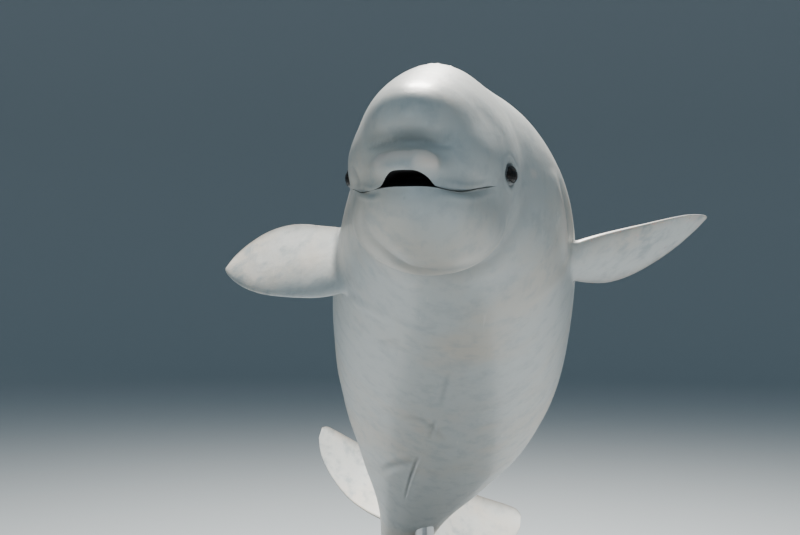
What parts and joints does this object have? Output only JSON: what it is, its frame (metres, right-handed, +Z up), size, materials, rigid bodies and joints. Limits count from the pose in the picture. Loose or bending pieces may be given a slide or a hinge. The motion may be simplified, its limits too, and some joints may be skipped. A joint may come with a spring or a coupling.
{
  "type": "beluga whale model",
  "caption": "Life-size still model of a grown beluga whale as it swims, head level and tail sloping down, held on a flat base by short rods.",
  "frame": {"origin": "middle of the stand base's underside, on the floor", "axes": "+Z up, the whale faces -Y, +X is its left side"},
  "size_m": [1.3462, 3.1378, 1.7966],
  "materials": {
    "skin": "smooth, slightly moist white skin",
    "eye": "wet, near black",
    "base_board": "satin dark grey paint",
    "rod_steel": "brushed"
  },
  "bodies": {
    "root": {"head": "skin", "melon": "skin", "lower_jaw": "skin", "neck": "skin", "chest": "skin", "belly": "skin", "loins": "skin", "tail_stock_front": "skin", "tail_stock_rear": "skin", "fluke_left": "skin", "fluke_right": "skin", "flipper_left": "skin", "flipper_right": "skin", "eye_left": "eye", "eye_right": "eye", "stand_base": "base_board", "stand_rod_front": "rod_steel", "stand_flange_front": "rod_steel", "stand_rod_rear": "rod_steel", "stand_flange_rear": "rod_steel"}
  },
  "joints": []
}
